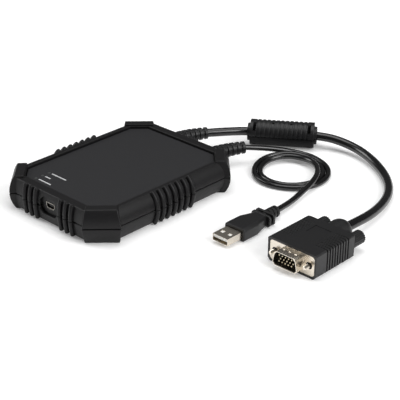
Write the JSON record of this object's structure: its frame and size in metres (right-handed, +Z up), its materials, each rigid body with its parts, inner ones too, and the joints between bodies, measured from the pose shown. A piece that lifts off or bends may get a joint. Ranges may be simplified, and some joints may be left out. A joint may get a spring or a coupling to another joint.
{
  "type": "crash cart adapter",
  "caption": "Handheld server console adapter: ribbed housing with corner guards, a mini port, and captive leads to a video plug with thumbscrews and to a type A plug.",
  "frame": {"origin": "under the middle of the housing, on the surface it stands on", "axes": "+Y along the housing towards the end where the leads leave, +Z up"},
  "size_m": [0.2101, 0.2169, 0.0226],
  "materials": {
    "housing": "fine moulded texture",
    "panel": "fine spark-eroded texture",
    "zinc_screw": "zinc plated",
    "nickel": "nickel plated",
    "black_insulator": "smooth moulded",
    "white_insulator": "smooth moulded",
    "gold_contact": "gold flash",
    "board": "solder mask",
    "chip": "moulded epoxy",
    "can": "plain can",
    "header": "moulded nylon",
    "lead": "cord jacket",
    "lamp": "moulded lens",
    "light_pipe": "clear moulded",
    "relief": "smooth moulded",
    "cord": "smooth satin jacket",
    "ferrite_case": "semi-gloss moulded",
    "ferrite": "sintered",
    "plug_hood": "semi-gloss moulded"
  },
  "bodies": {
    "root": {"upper_shell": "housing", "lower_shell": "housing", "top_panel": "panel", "case_screws": "zinc_screw", "board_screws": "zinc_screw", "port_shell": "nickel", "video_plug_shell": "nickel", "usb_plug_shell": "nickel", "port_insulator": "black_insulator", "video_plug_insulator": "black_insulator", "usb_plug_tongue": "white_insulator", "port_contacts": "gold_contact", "video_plug_pins": "gold_contact", "usb_plug_contacts": "gold_contact", "main_board": "board", "video_chip": "chip", "interface_chip": "chip", "memory_chip": "chip", "crystal": "can", "capacitors": "can", "video_header": "header", "usb_header": "header", "video_inner_lead": "lead", "usb_inner_lead": "lead", "status_lamps": "lamp", "light_pipes": "light_pipe", "video_strain_relief": "relief", "usb_strain_relief": "relief", "video_cord": "cord", "usb_cord_lead": "cord", "usb_cord_coil": "cord", "usb_cord_tail": "cord", "ferrite_case_lower": "ferrite_case", "ferrite_core_lower": "ferrite", "video_plug_hood": "plug_hood", "usb_plug_hood": "plug_hood"},
    "thumbscrew_left": {"thumbscrew_left_shaft": "nickel", "thumbscrew_left_knob": "plug_hood"},
    "thumbscrew_right": {"thumbscrew_right_shaft": "nickel", "thumbscrew_right_knob": "plug_hood"},
    "ferrite_lid": {"ferrite_case_upper": "ferrite_case", "ferrite_core_upper": "ferrite"}
  },
  "joints": [
    {"name": "thumbscrew_left_turn", "type": "hinge", "parent": "root", "child": "thumbscrew_left", "pos_m": [0.12895, 0.02, 0.0078], "axis": [0, 1, 0], "continuous": true},
    {"name": "thumbscrew_right_turn", "type": "hinge", "parent": "root", "child": "thumbscrew_right", "pos_m": [0.15395, 0.02, 0.0078], "axis": [0, 1, 0], "continuous": true},
    {"name": "ferrite_lid_hinge", "type": "hinge", "parent": "root", "child": "ferrite_lid", "pos_m": [0.02057, 0.13615, 0.00905], "axis": [-0.8211, -0.5707, 0], "range_deg": [0, 110]}
  ]
}
